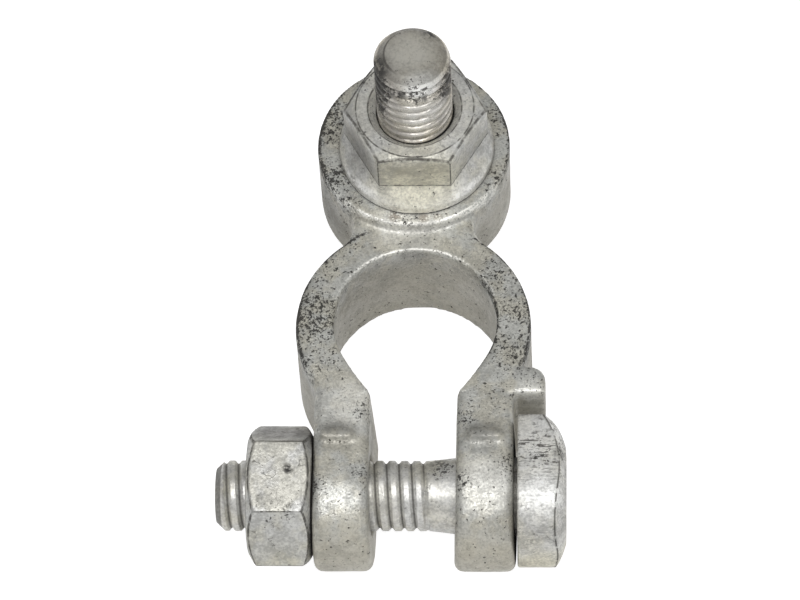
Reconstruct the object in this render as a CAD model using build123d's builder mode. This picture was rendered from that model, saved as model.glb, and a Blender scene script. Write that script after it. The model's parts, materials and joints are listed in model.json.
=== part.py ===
"""Battery terminal clamp: a split ring for a tapered battery post, closed by a bolt through two ears,
with a stud boss behind it for the cable's eye.

Millimetres, +Z up. The origin is the post bore's centre on the clamp's underside. The stud boss is
towards +Y, the ears are towards -Y, and the clamp bolt's head is at +X.
"""
import math
import os

from build123d import *

# ---------------------------------------------------------------- driving dimensions
# split ring and its tapered bore
BODY_H = 13.0  # height of the ring, the neck and the ears
BORE_TOP_R = 8.3  # bore radius at the top face
BORE_TAPER = 1 / 9  # change of the bore's diameter with height, as on a battery post
BORE_EDGE = 0.15  # chamfer at the top of the bore
RING_R = 12.1  # ring's outer radius at the top face
RING_X = -0.2  # centre of the ring's outer wall, as cast a little off the machined bore
RING_Y = -0.3
DRAFT = 0.5  # casting draft of the ring's outer wall, in degrees
BODY_EDGE = 0.6  # rounding of the casting's outer edges

# ears and the gap between them
GAP_HALF = 4.4  # centre plane to an ear's inner face
NUT_EAR_OUT = 10.1  # centre plane to the outer face of the ear under the nut
HEAD_EAR_OUT = 10.15  # centre plane to the outer face of the ear under the bolt's head, at the top
EAR_DRAFT = 2.0  # casting draft of the ears' inner faces, in degrees
EAR_EDGE = 0.95  # rounding of the ears' edges
EAR_START_Y = -7.9  # where the ring's tangent flank meets an ear's outer face
EAR_ROUND_Y = -18.25  # centre of the ears' rounded ends
FLARE_ANGLE = 26  # below the X axis, where the bore's arc opens into the flare
FLARE_END_Y = -8.3  # where the flare meets the ears' inner faces

# neck and stud boss
BOSS_X = -0.5  # boss centre, as cast off the stud's hole
BOSS_Y = 20.9
BOSS_R = 10.1
BOSS_H = 9.6  # height of boss and neck, below the ring's top face
BOSS_RISE = 0.9  # boss above the ring's top face
BOSS_EDGE = 0.35  # rounding of the boss's top edge
NECK_FILLET = 3.2  # inside corners between ring and boss
NECK_SINK = 0.05  # how far the inside corners run into both walls

# lug that keeps the bolt's head from turning
LUG_IN = 9.4  # buried end, inside the ear
LUG_OUT = 13.4
LUG_BACK_Y = -5.25
LUG_FRONT_Y = -8.5
LUG_ROUND = 1.6  # outer back corner
LUG_EDGE = 0.4

# clamp bolt and nut
BOLT_Y = -17.2
BOLT_Z = 7.1
BOLT_TIP_X = -20.0
BOLT_THREAD_R = 3.6  # crest radius of the rolled thread
BOLT_TIP_CHAMFER = 0.8
BOLT_THREAD_END_X = 1.73
BOLT_SHANK_R = 3.95  # plain shank through the right ear
BOLT_FLARE_X = 4.5  # where the flared neck reaches the shank's radius
HEAD_IN_X = 10.5
HEAD_OUT_X = 15.5
HEAD_BACK = 6.0  # bolt axis to the head's flat back
HEAD_FRONT = 6.75  # bolt axis to the head's rounded front
HEAD_HALF_H = 6.5  # bolt axis to the head's flat top and bottom
HEAD_FRONT_ROUND = 5.0
HEAD_FACE_R = 4.8  # radius of the head's flat end, inside its domed edge
HEAD_DOME_R = 9.0  # radius of the dome, in section
HEAD_DOME_START = 15  # slope of the dome where it leaves the flat end, in degrees
HEAD_REACH = 10.2  # beyond the head's furthest corner from the bolt axis
ACROSS_FLATS = 13.0  # both nuts and the stud's square head
HEX_REACH = 8.0  # beyond a nut's corners
NUT_H = 6.65
NUT_TURN = 10.3  # a corner of the clamp nut, from +Y towards +Z, in degrees
NUT_FACE_R = 5.9  # clamp nut's flat end faces, inside their conical chamfers
NUT_CHAMFER = 30  # from the end faces, in degrees
NUT_SINK = 0.5  # countersink at both ends of the clamp nut's bore

# terminal stud and flange nut
STUD_X = -0.15  # stud axis
STUD_Y = 20.26
STUD_R = 3.93  # crest radius of the M8 thread's free end
STUD_GRIP_R = 3.75  # mean radius of the stretch inside the boss and the nut
STUD_TIP_R = 2.7
STUD_CONE_Z = 30.68
STUD_TOP_Z = 31.73
STUD_HEAD_H = 3.2  # square head, under the boss
FLANGE_R = 8.1
FLANGE_EDGE_H = 0.95  # upright edge of the flange
FLANGE_FOOT_H = 3.0  # from the boss to the foot of the hexagon, which the flange slopes up to
FLANGE_NUT_H = 8.0
FLANGE_NUT_FACE_R = 6.1  # flat top face, inside its conical chamfer
FLANGE_NUT_SINK = 0.9  # countersink at the top of its bore

# fits
HOLE_R = 4.05  # ear holes and stud hole
OVERLAP = 1.0  # how far a shank is sunk into its head
RUN_GAP = 0.05  # radial, between a nut and the thread crests
SEAT_GAP = 0.02  # between a nut and the face it bears on

# ---------------------------------------------------------------- derived values
bore_bottom_r = BORE_TOP_R + BODY_H * BORE_TAPER / 2
ring_bottom_r = RING_R + BODY_H * math.tan(math.radians(DRAFT))
ear_r = BODY_H / 2
ear_end_y = EAR_ROUND_Y - ear_r
gap_foot = GAP_HALF - BODY_H * math.tan(math.radians(EAR_DRAFT))
head_ear_foot = HEAD_IN_X - SEAT_GAP
boss_bottom_z = BODY_H - BOSS_H
boss_top_z = BODY_H + BOSS_RISE
chamfer_slope = math.tan(math.radians(NUT_CHAMFER))
nut_in_x = -NUT_EAR_OUT - SEAT_GAP
nut_out_x = nut_in_x - NUT_H
flange_z = boss_top_z + SEAT_GAP
flange_nut_top_z = boss_top_z + FLANGE_NUT_H
ring_axis = Axis((RING_X, RING_Y, 0), (0, 0, 1))
boss_axis = Axis((BOSS_X, BOSS_Y, 0), (0, 0, 1))
bolt_axis = Axis((0, BOLT_Y, BOLT_Z), (1, 0, 0))
stud_axis = Axis((STUD_X, STUD_Y, 0), (0, 0, 1))


def across(x):
    """Plane square to the clamp bolt at x, with its own X along +Y and its own Y along +Z."""
    return Plane(origin=(x, BOLT_Y, BOLT_Z), x_dir=(0, 1, 0), z_dir=(1, 0, 0))


def along_bolt():
    """Plane through the clamp bolt's axis: its own X along +X, and radius along its own Y."""
    return Plane(origin=(0, BOLT_Y, BOLT_Z), x_dir=(1, 0, 0), z_dir=(0, -1, 0))


def upright(axis):
    """Plane through an upright axis: radius along its own X, and height along its own Y."""
    return Plane(origin=axis.position, x_dir=(1, 0, 0), z_dir=(0, -1, 0))


# ---------------------------------------------------------------- clamp body
# the neck is drawn in a plane whose own Y runs from the ring's centre to the boss's, and its inside
# corners are arcs that run a little way into both walls
boss_away = math.hypot(BOSS_X - RING_X, BOSS_Y - RING_Y)
neck_top = Plane(
    origin=(RING_X, RING_Y, BODY_H),
    x_dir=(BOSS_Y - RING_Y, RING_X - BOSS_X, 0),
    z_dir=(0, 0, 1),
)
to_ring = RING_R - NECK_SINK + NECK_FILLET
to_boss = BOSS_R - NECK_SINK + NECK_FILLET
neck_y = (to_ring**2 - to_boss**2 + boss_away**2) / (2 * boss_away)
neck_x = math.sqrt(to_ring**2 - neck_y**2)


def neck_touch(centre_y, r):
    """Where the inside corner ends in a wall of radius r, centred at centre_y on the neck's own Y."""
    share = (r - NECK_SINK) / (r - NECK_SINK + NECK_FILLET)
    return neck_x * share, centre_y + (neck_y - centre_y) * share


def flank_touch(ear_out, ring_x, r):
    """Where the tangent from an ear's outer face touches a circle of radius r about the ring's centre."""
    reach = math.hypot(ear_out - ring_x, EAR_START_Y - RING_Y)
    angle = math.atan2(EAR_START_Y - RING_Y, ear_out - ring_x) + math.acos(r / reach)
    return ring_x + r * math.cos(angle), RING_Y + r * math.sin(angle)


def make_ear(ear_out, ear_foot, ring_x):
    """An ear on the +X side, with the flank that joins it to the ring."""
    with BuildPart() as ear:
        with BuildSketch(Plane.XZ.offset(-EAR_START_Y)):
            with BuildLine():
                Polyline(
                    (gap_foot, 0),
                    (ear_foot, 0),
                    (ear_out, BODY_H),
                    (GAP_HALF, BODY_H),
                    close=True,
                )
            make_face()
        extrude(amount=EAR_START_Y - ear_end_y)
        with BuildSketch(Plane.YZ):
            with Locations((EAR_ROUND_Y, ear_r)):
                Circle(ear_r)
            with Locations((EAR_ROUND_Y, 0)):
                Rectangle(EAR_START_Y - EAR_ROUND_Y, BODY_H, align=(Align.MIN, Align.MIN))
        extrude(amount=ear_foot, mode=Mode.INTERSECT)
        inner_face = faces().sort_by(Axis.X)[0]
        fillet(inner_face.edges().filter_by(lambda e: e.center().Y < FLARE_END_Y), EAR_EDGE)
        for z, out, r in ((BODY_H, ear_out, RING_R), (0, ear_foot, ring_bottom_r)):
            with BuildSketch(Plane.XY.offset(z)):
                with BuildLine():
                    Polyline(
                        (ring_x, EAR_START_Y),
                        (out, EAR_START_Y),
                        flank_touch(out, ring_x, r),
                        (ring_x, RING_Y),
                        close=True,
                    )
                make_face()
        loft(ruled=True)
        outer_face = faces().filter_by(lambda f: f.center().Y < EAR_START_Y).sort_by(Axis.X)[-1]
        flank_face = faces().filter_by(lambda f: f.normal_at().X > 0.5).sort_by(Axis.Y)[-1]
        outer_edges = outer_face.edges() + flank_face.edges()
        fillet(outer_edges.filter_by(lambda e: abs(e.tangent_at(0.5).Z) < 0.9), EAR_EDGE)
    return ear.part


head_ear = make_ear(HEAD_EAR_OUT, head_ear_foot, RING_X)
nut_ear = make_ear(NUT_EAR_OUT, NUT_EAR_OUT, -RING_X)

# neck between ring and boss, shorter than the ring
with BuildPart() as neck:
    with BuildSketch(neck_top):
        with BuildLine():
            right_side = RadiusArc(
                neck_touch(0, RING_R),
                neck_touch(boss_away, BOSS_R),
                NECK_FILLET,
            )
            left_side = mirror(right_side, about=Plane.YZ)
            Line(right_side @ 0, left_side @ 0)
            Line(right_side @ 1, left_side @ 1)
        make_face()
    extrude(amount=-BOSS_H)
    fillet(edges().filter_by(Plane.XY).filter_by(GeomType.CIRCLE), BODY_EDGE)

# lug beside the bolt's head
with BuildPart() as lug:
    with BuildSketch():
        with Locations((LUG_IN, LUG_FRONT_Y)):
            Rectangle(
                LUG_OUT - LUG_IN,
                LUG_BACK_Y - LUG_FRONT_Y,
                align=(Align.MIN, Align.MIN),
            )
        fillet(vertices().group_by(Axis.X)[-1].sort_by(Axis.Y)[-1], LUG_ROUND)
    extrude(amount=BODY_H)
    end_faces = faces().filter_by(Axis.Z)
    free_edges = end_faces.edges().filter_by(lambda e: e.center().X > LUG_IN)
    fillet(free_edges, LUG_EDGE)

flare_start = (
    BORE_TOP_R * math.cos(math.radians(FLARE_ANGLE)),
    -BORE_TOP_R * math.sin(math.radians(FLARE_ANGLE)),
)

with BuildPart() as clamp_body:
    # ring, drafted from the top face down
    with BuildSketch(upright(ring_axis)):
        with BuildLine():
            Polyline((0, 0), (ring_bottom_r, 0), (RING_R, BODY_H), (0, BODY_H), close=True)
        make_face()
        fillet(vertices().group_by(Axis.X)[-1] + vertices().group_by(Axis.X)[-2], BODY_EDGE)
    revolve(axis=ring_axis)

    # room in the ring's wall for the ears, whose inner edges are rounded
    with BuildSketch():
        with Locations((0, FLARE_END_Y)):
            Rectangle(NUT_EAR_OUT + GAP_HALF, ear_r, align=(Align.CENTER, Align.MAX))
    extrude(amount=BODY_H, mode=Mode.SUBTRACT)

    # boss, taller than the ring
    with BuildSketch(upright(boss_axis)):
        with Locations((0, boss_bottom_z)):
            Rectangle(BOSS_R, BOSS_H + BOSS_RISE, align=(Align.MIN, Align.MIN))
        outer_corners = vertices().group_by(Axis.X)[-1].sort_by(Axis.Y)
        fillet(outer_corners[0], BODY_EDGE)
        fillet(outer_corners[-1], BOSS_EDGE)
    revolve(axis=boss_axis)

    add(neck.part)
    add(head_ear)
    mirror(nut_ear, about=Plane.YZ)
    add(lug.part)

    # post bore and the gap that flares out of it
    with BuildSketch(Plane.XZ):
        with BuildLine():
            Polyline(
                (0, 0),
                (bore_bottom_r, 0),
                (BORE_TOP_R, BODY_H - BORE_EDGE),
                (BORE_TOP_R + BORE_EDGE, BODY_H),
                (0, BODY_H),
                close=True,
            )
        make_face()
    revolve(axis=Axis.Z, mode=Mode.SUBTRACT)
    with BuildSketch(Plane.XY.offset(BODY_H)):
        with BuildLine():
            flare = TangentArc(
                flare_start,
                (GAP_HALF, FLARE_END_Y),
                tangent=(flare_start[1], -flare_start[0]),
            )
            Polyline(
                flare @ 0,
                (0, flare_start[1]),
                (0, ear_end_y - OVERLAP),
                (GAP_HALF, ear_end_y - OVERLAP),
                flare @ 1,
            )
        make_face()
        mirror(about=Plane.YZ)
    extrude(amount=-BODY_H, taper=EAR_DRAFT, mode=Mode.SUBTRACT)

    # holes for the clamp bolt and the stud
    with BuildSketch(across(-NUT_EAR_OUT)):
        Circle(HOLE_R)
    extrude(amount=NUT_EAR_OUT + head_ear_foot, mode=Mode.SUBTRACT)
    with BuildSketch(Plane.XY.offset(boss_bottom_z)):
        with Locations((STUD_X, STUD_Y)):
            Circle(HOLE_R)
    extrude(amount=boss_top_z - boss_bottom_z, mode=Mode.SUBTRACT)

# ---------------------------------------------------------------- clamp bolt
dome_start = math.radians(HEAD_DOME_START)
dome_x = HEAD_OUT_X - HEAD_DOME_R * math.cos(dome_start)
dome_r = HEAD_FACE_R - HEAD_DOME_R * math.sin(dome_start)
dome_end_x = dome_x + math.sqrt(HEAD_DOME_R**2 - (HEAD_REACH - dome_r) ** 2)

with BuildPart() as clamp_bolt:
    with BuildSketch(across(HEAD_IN_X)):
        with Locations(((HEAD_BACK - HEAD_FRONT) / 2, 0)):
            Rectangle(HEAD_BACK + HEAD_FRONT, 2 * HEAD_HALF_H)
        fillet(vertices().group_by(Axis.X)[0], HEAD_FRONT_ROUND)
    extrude(amount=HEAD_OUT_X - HEAD_IN_X)
    with BuildSketch(along_bolt()):
        with BuildLine():
            Polyline((dome_end_x, HEAD_REACH), (HEAD_IN_X, HEAD_REACH), (HEAD_IN_X, 0))
            Polyline((HEAD_IN_X, 0), (HEAD_OUT_X, 0), (HEAD_OUT_X, HEAD_FACE_R))
            RadiusArc((HEAD_OUT_X, HEAD_FACE_R), (dome_end_x, HEAD_REACH), -HEAD_DOME_R)
        make_face()
    revolve(axis=bolt_axis, mode=Mode.INTERSECT)
    with BuildSketch(along_bolt()):
        with BuildLine():
            Polyline(
                (BOLT_TIP_X, 0),
                (BOLT_TIP_X, BOLT_THREAD_R - BOLT_TIP_CHAMFER),
                (BOLT_TIP_X + BOLT_TIP_CHAMFER, BOLT_THREAD_R),
                (BOLT_THREAD_END_X, BOLT_THREAD_R),
                (BOLT_FLARE_X, BOLT_SHANK_R),
                (HEAD_IN_X + OVERLAP, BOLT_SHANK_R),
                (HEAD_IN_X + OVERLAP, 0),
                close=True,
            )
        make_face()
    revolve(axis=bolt_axis)

# ---------------------------------------------------------------- clamp nut
nut_bore_r = BOLT_THREAD_R + RUN_GAP
nut_chamfer_x = (HEX_REACH - NUT_FACE_R) * chamfer_slope

with BuildPart() as clamp_nut:
    with BuildSketch(across(nut_out_x)):
        RegularPolygon(ACROSS_FLATS / 2, 6, major_radius=False, rotation=NUT_TURN)
    extrude(amount=NUT_H)
    with BuildSketch(along_bolt()):
        with BuildLine():
            Polyline(
                (nut_out_x, nut_bore_r + NUT_SINK),
                (nut_out_x, NUT_FACE_R),
                (nut_out_x + nut_chamfer_x, HEX_REACH),
                (nut_in_x - nut_chamfer_x, HEX_REACH),
                (nut_in_x, NUT_FACE_R),
                (nut_in_x, nut_bore_r + NUT_SINK),
                (nut_in_x - NUT_SINK, nut_bore_r),
                (nut_out_x + NUT_SINK, nut_bore_r),
                close=True,
            )
        make_face()
    revolve(axis=bolt_axis, mode=Mode.INTERSECT)

# ---------------------------------------------------------------- terminal stud
stud_head_top_z = boss_bottom_z - SEAT_GAP
stud_head_z = stud_head_top_z - STUD_HEAD_H
stud_head_corner = ACROSS_FLATS / math.sqrt(2)
stud_head_cut = (stud_head_corner - ACROSS_FLATS / 2) * chamfer_slope

with BuildPart() as terminal_stud:
    with BuildSketch(Plane.XY.offset(stud_head_z)):
        with Locations((STUD_X, STUD_Y)):
            Rectangle(ACROSS_FLATS, ACROSS_FLATS)
    extrude(amount=STUD_HEAD_H)
    with BuildSketch(upright(stud_axis)):
        with BuildLine():
            Polyline(
                (0, stud_head_z),
                (ACROSS_FLATS / 2, stud_head_z),
                (stud_head_corner, stud_head_z + stud_head_cut),
                (stud_head_corner, stud_head_top_z),
                (0, stud_head_top_z),
                close=True,
            )
        make_face()
    revolve(axis=stud_axis, mode=Mode.INTERSECT)
    with BuildSketch(upright(stud_axis)):
        with BuildLine():
            Polyline(
                (0, stud_head_top_z - OVERLAP),
                (STUD_GRIP_R, stud_head_top_z - OVERLAP),
                (STUD_GRIP_R, flange_nut_top_z),
                (STUD_R, flange_nut_top_z),
                (STUD_R, STUD_CONE_Z),
                (STUD_TIP_R, STUD_TOP_Z),
                (0, STUD_TOP_Z),
                close=True,
            )
        make_face()
    revolve(axis=stud_axis)

# ---------------------------------------------------------------- stud nut
stud_bore_r = STUD_R + RUN_GAP
stud_nut_chamfer_z = (HEX_REACH - FLANGE_NUT_FACE_R) * chamfer_slope

with BuildPart() as stud_nut:
    with BuildSketch(Plane.XY.offset(flange_z)):
        with Locations((STUD_X, STUD_Y)):
            RegularPolygon(ACROSS_FLATS / 2, 6, major_radius=False)
    extrude(amount=flange_nut_top_z - flange_z)
    with BuildSketch(upright(stud_axis)):
        with BuildLine():
            Polyline(
                (0, flange_z),
                (HEX_REACH, flange_z),
                (HEX_REACH, flange_nut_top_z - stud_nut_chamfer_z),
                (FLANGE_NUT_FACE_R, flange_nut_top_z),
                (0, flange_nut_top_z),
                close=True,
            )
        make_face()
    revolve(axis=stud_axis, mode=Mode.INTERSECT)
    with BuildSketch(Plane.XY.offset(flange_z)):
        with Locations((STUD_X, STUD_Y)):
            Circle(FLANGE_R)
    extrude(amount=FLANGE_EDGE_H)
    with BuildSketch(Plane.XY.offset(flange_z + FLANGE_EDGE_H)):
        with Locations((STUD_X, STUD_Y)):
            Circle(FLANGE_R)
    with BuildSketch(Plane.XY.offset(boss_top_z + FLANGE_FOOT_H)):
        with Locations((STUD_X, STUD_Y)):
            RegularPolygon(ACROSS_FLATS / 2, 6, major_radius=False)
    loft(ruled=True)
    with BuildSketch(upright(stud_axis)):
        with BuildLine():
            Polyline(
                (0, flange_z),
                (stud_bore_r, flange_z),
                (stud_bore_r, flange_nut_top_z - FLANGE_NUT_SINK),
                (stud_bore_r + FLANGE_NUT_SINK, flange_nut_top_z),
                (0, flange_nut_top_z),
                close=True,
            )
        make_face()
    revolve(axis=stud_axis, mode=Mode.SUBTRACT)

# ---------------------------------------------------------------- one file for each piece
pieces = {
    "clamp_body": clamp_body,
    "clamp_bolt": clamp_bolt,
    "clamp_nut": clamp_nut,
    "terminal_stud": terminal_stud,
    "stud_nut": stud_nut,
}
os.makedirs("parts", exist_ok=True)
for name, piece in pieces.items():
    piece.part.label = name
    export_step(piece.part, f"parts/{name}.step")
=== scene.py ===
"""Looks for the battery terminal clamp: a cast split ring with its clamp bolt, clamp nut, terminal stud
and flange nut, on a white floor under three soft lights. Blender works in metres, and MM turns the
millimetres of the places and sizes below into metres. The ears are in front, at -Y, and the bolt's head
is at the right, at +X."""

import json
import math
from functools import reduce

import bmesh
import bpy
from mathutils import Matrix, Vector, noise


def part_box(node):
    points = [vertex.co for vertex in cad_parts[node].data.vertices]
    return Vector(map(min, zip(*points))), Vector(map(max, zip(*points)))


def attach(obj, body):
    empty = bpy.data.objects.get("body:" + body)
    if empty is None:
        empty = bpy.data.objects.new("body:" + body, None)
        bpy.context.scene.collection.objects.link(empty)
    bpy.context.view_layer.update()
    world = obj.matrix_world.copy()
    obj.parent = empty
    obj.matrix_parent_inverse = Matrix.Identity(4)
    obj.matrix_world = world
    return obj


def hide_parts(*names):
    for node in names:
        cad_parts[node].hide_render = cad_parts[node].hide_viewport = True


bl_info = {
    "name": "Battery terminal clamp",
    "version": (1, 0, 0),
    "blender": (4, 5, 0),
    "location": "3D View > Sidebar > Clamp",
    "description": "Dresses a battery terminal clamp: casting, threads, nuts and studio",
    "category": "Object",
}

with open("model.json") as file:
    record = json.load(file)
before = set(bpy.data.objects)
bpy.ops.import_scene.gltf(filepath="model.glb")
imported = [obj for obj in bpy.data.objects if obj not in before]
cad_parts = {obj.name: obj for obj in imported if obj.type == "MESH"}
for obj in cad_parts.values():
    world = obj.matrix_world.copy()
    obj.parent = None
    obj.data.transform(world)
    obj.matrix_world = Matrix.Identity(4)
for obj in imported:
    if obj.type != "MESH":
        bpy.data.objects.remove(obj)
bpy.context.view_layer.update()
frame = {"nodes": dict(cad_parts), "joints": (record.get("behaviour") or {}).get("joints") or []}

MM = 0.001


def axis_place(joint_name):
    """A point on a joint's axis, in millimetres."""
    place = next(joint["pos_m"] for joint in frame["joints"] if joint["name"] == joint_name)
    return [value / MM for value in place]


# ---------------------------------------------------------------- sizes and places, in millimetres
_, BOLT_Y, BOLT_Z = axis_place("clamp_nut_spin")
STUD_X, STUD_Y, _ = axis_place("stud_nut_spin")
BOLT_AXIS = (0, BOLT_Y, BOLT_Z)
RING = (-0.2, -0.3)  # centre of the ring's outer wall, as cast a little off its bore
BOSS = (-0.5, 20.9)  # centre of the boss, as cast a little off the stud
BORE = (0, 0)
EAR_TOP = 13.0
EARS_TO_RING = (-9.5, -8.0)  # y where the ears give way to the ring
TOP_TO_WALL = (12.9, 12.3)  # z where the top gives way to the walls
TOP_TO_LOW = (13.2, 8.0)  # z over which the skin takes its darker, warmer colour lower down, a painted shade on the walls

# clamp bolt, from its tip at the left to its head at the right
BOLT_TIP_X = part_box("clamp_bolt")[0].x / MM
BOLT_TIP_R, BOLT_TIP_SLOPE = 2.75, 0.95  # chamfer of the tip: its small end and its slope
BOLT_THREAD_R, BOLT_SHANK_R = 3.58, 3.95
BOLT_FADE = (0.9, 1.9)  # x where the thread runs out
BOLT_FLARE = (1.2, 5.6)  # x where the neck widens to the plain shank
BOLT_HEAD_CUT_X = 10.53  # just inside the head, so that no two faces coincide
BOLT_SHANK_END_X = 11.6  # buried in the head
BOLT_CREST = 0.429  # where a crest stands, as a share of the pitch

# terminal stud
STUD_TOP_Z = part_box("terminal_stud")[1].z / MM
STUD_THREAD_R = 3.92
STUD_TIP_Z = 30.6  # where the rounded tip begins
STUD_TIP_DROP, STUD_TIP_CURVE = 1.12, 1.2  # how far the tip draws in, and how fast it curves
STUD_HEAD_CUT_Z = 3.36  # just inside the square head
STUD_FOOT_Z = 1.0  # buried in the square head
STUD_CREST = 0.89

# threads
CREST_END, ROOT_START = 0.2, 0.5  # shares of a pitch, from the middle of a crest

# castings and forgings
BAR_PLACES = ((-7.65, -13.3), (7.25, -13.3))  # minus bar on each ear
BAR_BLOCK_H = 2.0  # whole height of a bar's block, most of it buried in the ear
BAR_TOP_ROUND = 0.3
BAR_END_ROUND = 0.48  # share of the bar's width
CASTING_WAVE = 3.1  # length of the casting's waves
FORGED_DEPTH, FORGED_WAVE = 0.04, 2.5  # unevenness of the nuts and the bolt's head
NUT_TURN = math.radians(10.3)  # a corner of the clamp nut, from +Y towards +Z

# stage, in metres
FLOOR_R, FLOOR_Z = 1.2, -0.00005
COVE_STEP, COVE_SLOPES = 0.09, (4, 12, 24, 40, 60, 90)  # the floor's rising edge, in degrees
FLOOR_WHITE, MIRRORED_WHITE = 0.88, 0.7  # how white the floor is made, seen and in reflections
LAMPS = (  # name, place, size and the setting for its brightness
    ("overhead", (-0.01, -0.13, 0.5), 0.42, "key_level"),
    ("front", (0.12, -0.75, 0.32), 0.72, "front_level"),
    ("side", (0.75, 0.0, 0.3), 0.6, "side_level"),
)
EYE, TARGET = Vector((0.01469, -0.21346, 0.37857)), Vector((0, 0.00288, 0.01119))
CAMERA_SHIFT, CAMERA_ROLL = (-0.0202, 0.00626), math.radians(-3.323)

BAR_TO_BOLT = Matrix(((0, 0, 1), (0, -1, 0), (1, 0, 0)))  # turns a bar along +Z to lie along +X
SHARP_ANGLE = math.radians(38)  # edges sharper than this stay sharp in shading

# ---------------------------------------------------------------- colours
TIN_COOL = (0.555, 0.557, 0.525)
# painted shade on the walls lower down
TIN_LOW_SHADE = (0.46, 0.435, 0.36)
# painted light and painted highlights
TIN_PAINTED_LIGHT = (0.95, 0.94, 0.88)
# painted shade
TIN_PAINTED_SHADE = (0.2, 0.19, 0.165)
# painted shade in inner corners
TIN_CORNER_SHADE = (0.12, 0.115, 0.10)
# pits, and painted shade in crevices
TIN_PIT_AND_SHADE = (0.035, 0.033, 0.03)
RUST = (0.2, 0.13, 0.075)
STUD_STEEL = (0.62, 0.59, 0.54)
# painted light and painted highlights
STEEL_PAINTED_LIGHT = (0.93, 0.93, 0.91)
# painted shade
STEEL_PAINTED_SHADE = (0.16, 0.15, 0.135)
# painted shade in inner corners
STEEL_CORNER_SHADE = (0.10, 0.095, 0.085)
# dark lines, and painted shade in the thread roots
STEEL_LINE_AND_SHADE = (0.07, 0.066, 0.058)
# pits, grime, and painted shade in crevices
STEEL_PIT_AND_SHADE = (0.045, 0.043, 0.04)
PATCHY = (1.02, 1.0, 0.93)  # what the warmer patches of plating multiply its colour by
YELLOWED = (1.02, 0.985, 0.84)  # the same, at the places called warm

# ---------------------------------------------------------------- wear, dirt, painted light and painted shade
# A spot is x, y, z, radius and strength. A rim is its centre, radius, width, z, the bearing that it is
# strongest towards and how far it spreads from there, both in degrees from +X, and its strength.
CASTING_LOOKS = {
    "grain": 4200.0,  # scale of the grain's noise
    "crevices": 0.6,  # how near two surfaces are where painted shade gathers
    "pit scale": 2000.0,  # scale of the pits' noise
    "cover": 0.34,  # how pitted the skin is
    "edge cover": 0.16,  # how much more so its edges are
    "metal": 0.42,
    "bump": 0.04,  # depth of the relief
    "pits": [
        # top of the ring, left then right
        (-10.8, 0.6, 13, 5.4, 0.36), (-9.6, -4.4, 13, 3.4, 0.2), (-9.6, 6.2, 13, 4.0, 0.2),
        (-7.2, 9.4, 13, 2.6, 0.2),
        (8.6, 5.8, 13, 3.6, 0.24), (10.9, 1.5, 13, 4.0, 0.28), (10.4, -3.6, 13, 4.4, 0.28),
        (8.6, -8.6, 13, 3.0, 0.12),
        # top of the boss
        (-9.2, 16.6, 13.9, 3.6, 0.36), (-7.6, 13.4, 13.9, 3.0, 0.24), (-9.6, 23.5, 13.9, 4.6, 0.38),
        (8.6, 17.0, 13.9, 3.4, 0.18), (9.3, 24.0, 13.9, 3.6, 0.25), (-1.2, 11.6, 13.9, 1.6, 0.2),
        # ears and lug
        (-4.9, -10.5, 13, 2.4, 0.24), (4.9, -11.0, 13, 2.4, 0.24), (-5.0, -17.5, 13, 2.0, 0.25),
        (9.8, -16.5, 12.5, 2.0, 0.3), (5.0, -18.5, 12.0, 2.2, 0.32), (-9.5, -19.0, 12.0, 2.2, 0.28),
        (12.5, -7.0, 13, 2.0, 0.12),
    ],
    "dark rims": [
        (RING, 11.95, 0.3, 12.9, 178, 44, 0.85),
        (RING, 11.9, 0.24, 12.9, 128, 20, 0.9),
        (RING, 11.9, 0.24, 12.9, 50, 18, 0.9),
        (RING, 11.95, 0.2, 12.9, 2, 36, 0.7),
        (BOSS, 9.95, 0.4, 13.8, 168, 50, 0.9),
        (BOSS, 10.0, 0.3, 13.8, 25, 60, 0.8),
        (BORE, 8.35, 0.3, 13.0, 2, 45, 0.9),
    ],
    # painted shade in the crease at the foot of the boss
    "crease_shade": [(BOSS, 10.25, 0.2, 13.0, 270, 75, 0.35)],
    # painted highlights along the boss's front rim and the bore's back rim
    "painted highlight rims": [(BOSS, 9.9, 0.28, 13.8, 270, 80, 1.0), (BORE, 8.5, 0.35, 13.95, 90, 80, 0.9)],
    "dull": [
        # painted shade: walls of the boss, waist and ring
        (-10.4, 17.5, 8.0, 7.0, 0.75), (8.8, 16.5, 8.0, 6.0, 0.2), (-6, 7.0, 8, 7.0, 0.24),
        (-12.2, 0.0, 8.0, 5.0, 0.3),
        # painted shade: back of the ring, both minus bars and the left ear's inner face
        (0.0, 9.6, 12.5, 3.2, 0.45), (-7.65, -13.2, 13.4, 2.9, 0.5), (7.25, -13.2, 13.4, 2.9, 0.5),
        (-4.6, -12.0, 9.0, 3.5, 0.4),
    ],
    "light": [
        # painted light: front of the boss and the neck
        (-0.5, 11.7, 13.9, 5.0, 0.9), (0, 10.6, 13.7, 3.0, 0.3), (7.5, 7.5, 8, 5.0, 0.25),
        # painted highlights and painted light: ears and lug
        (7.3, -18.5, 11.6, 4.3, 1.0), (-7.7, -19.2, 11.2, 3.2, 0.3), (-6.5, -10.0, 13, 4.4, 0.5),
        (11.8, -8.1, 12.7, 1.9, 0.8),
    ],
    "rust": [(-2.3, 12.0, 13.9, 1.0, 0.55), (0.7, 11.8, 13.9, 0.8, 0.5), (2.2, 11.9, 13.9, 0.7, 0.35)],
}
STEEL_LOOKS = {"grain": 3600.0, "crevices": 0.5, "pit scale": 1900.0, "edge cover": 0.14}
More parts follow.
